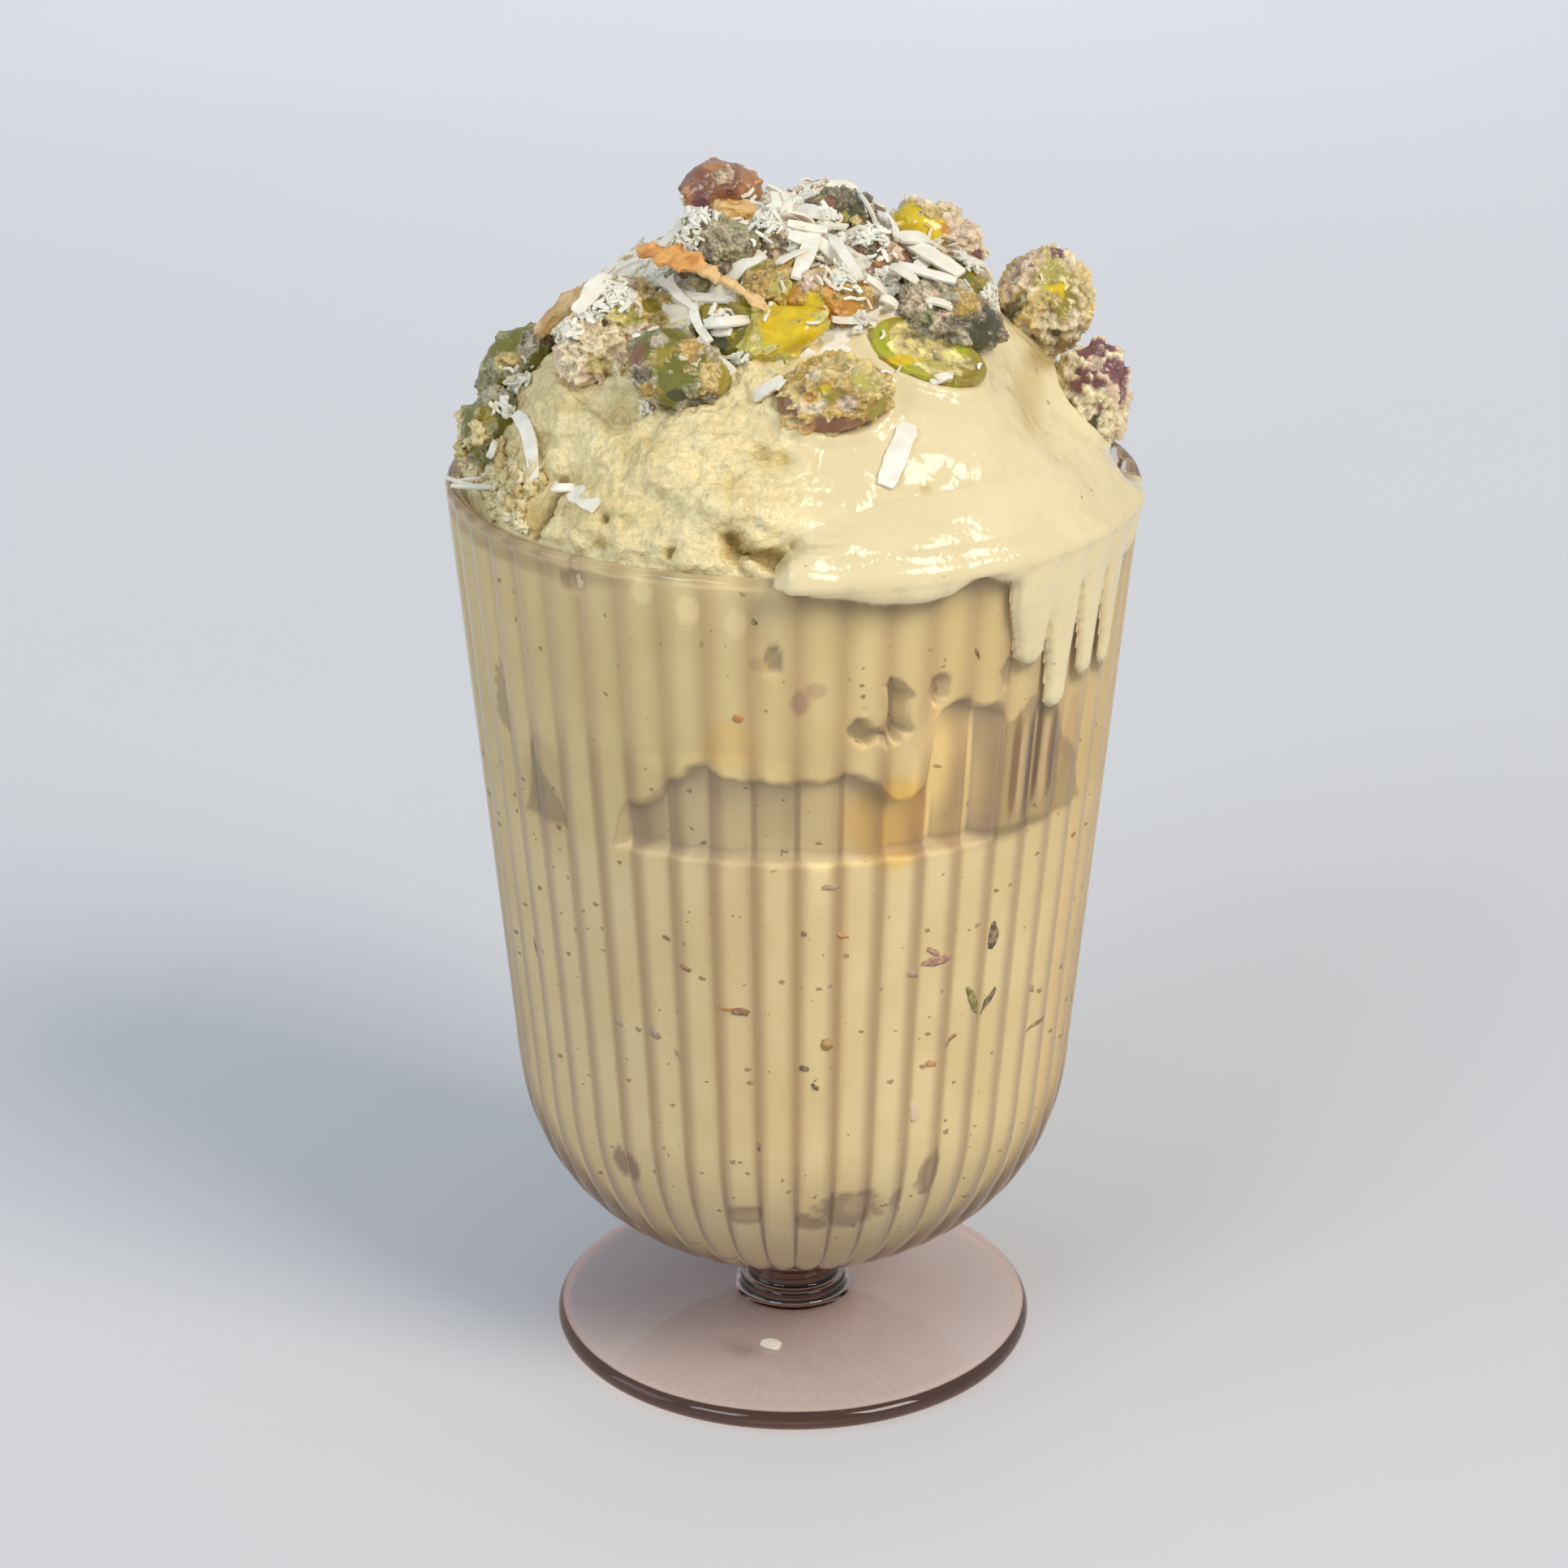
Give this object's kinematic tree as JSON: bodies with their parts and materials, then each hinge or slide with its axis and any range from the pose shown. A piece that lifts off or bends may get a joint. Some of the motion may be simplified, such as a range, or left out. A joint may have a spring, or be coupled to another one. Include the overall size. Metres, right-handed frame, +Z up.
{
  "type": "glass of ice cream",
  "caption": "Footed ribbed glass heaped with pale green ice cream, melting over the rim, topped with candied nuts, coconut shreds and toasted chips.",
  "frame": {"origin": "centre of the foot's flat underside", "axes": "+Z up along the glass's axis; -Y is the front that the picture shows; +X is to the right as seen from the front"},
  "size_m": [0.0867, 0.0885, 0.1567],
  "materials": {
    "glass": "pressed glass with a smoky brown tint, polished",
    "ice_cream": "pale green-yellow ice cream, wet and glossy where it has melted",
    "coconut": "white dried coconut, matt",
    "nut": "olive and yellow pistachio kernels with purple-brown skin under a pale sugar crust",
    "chip": "toasted golden to orange brown, matt"
  },
  "bodies": {
    "root": {"glass": "glass", "ice_cream": "ice_cream", "coconut": "coconut", "pistachio_01": "nut", "pistachio_02": "nut", "pistachio_03": "nut", "pistachio_04": "nut", "pistachio_05": "nut", "pistachio_06": "nut", "pistachio_07": "nut", "pistachio_08": "nut", "pistachio_09": "nut", "pistachio_10": "nut", "pistachio_11": "nut", "pistachio_12": "nut", "pistachio_13": "nut", "pistachio_14": "nut", "pistachio_15": "nut", "pistachio_16": "nut", "pistachio_17": "nut", "pistachio_18": "nut", "pistachio_19": "nut", "pistachio_20": "nut", "pistachio_21": "nut", "pistachio_22": "nut", "pistachio_23": "nut", "pistachio_24": "nut", "pistachio_25": "nut", "toasted_chip_1": "chip", "toasted_chip_2": "chip", "toasted_chip_3": "chip"}
  },
  "joints": []
}
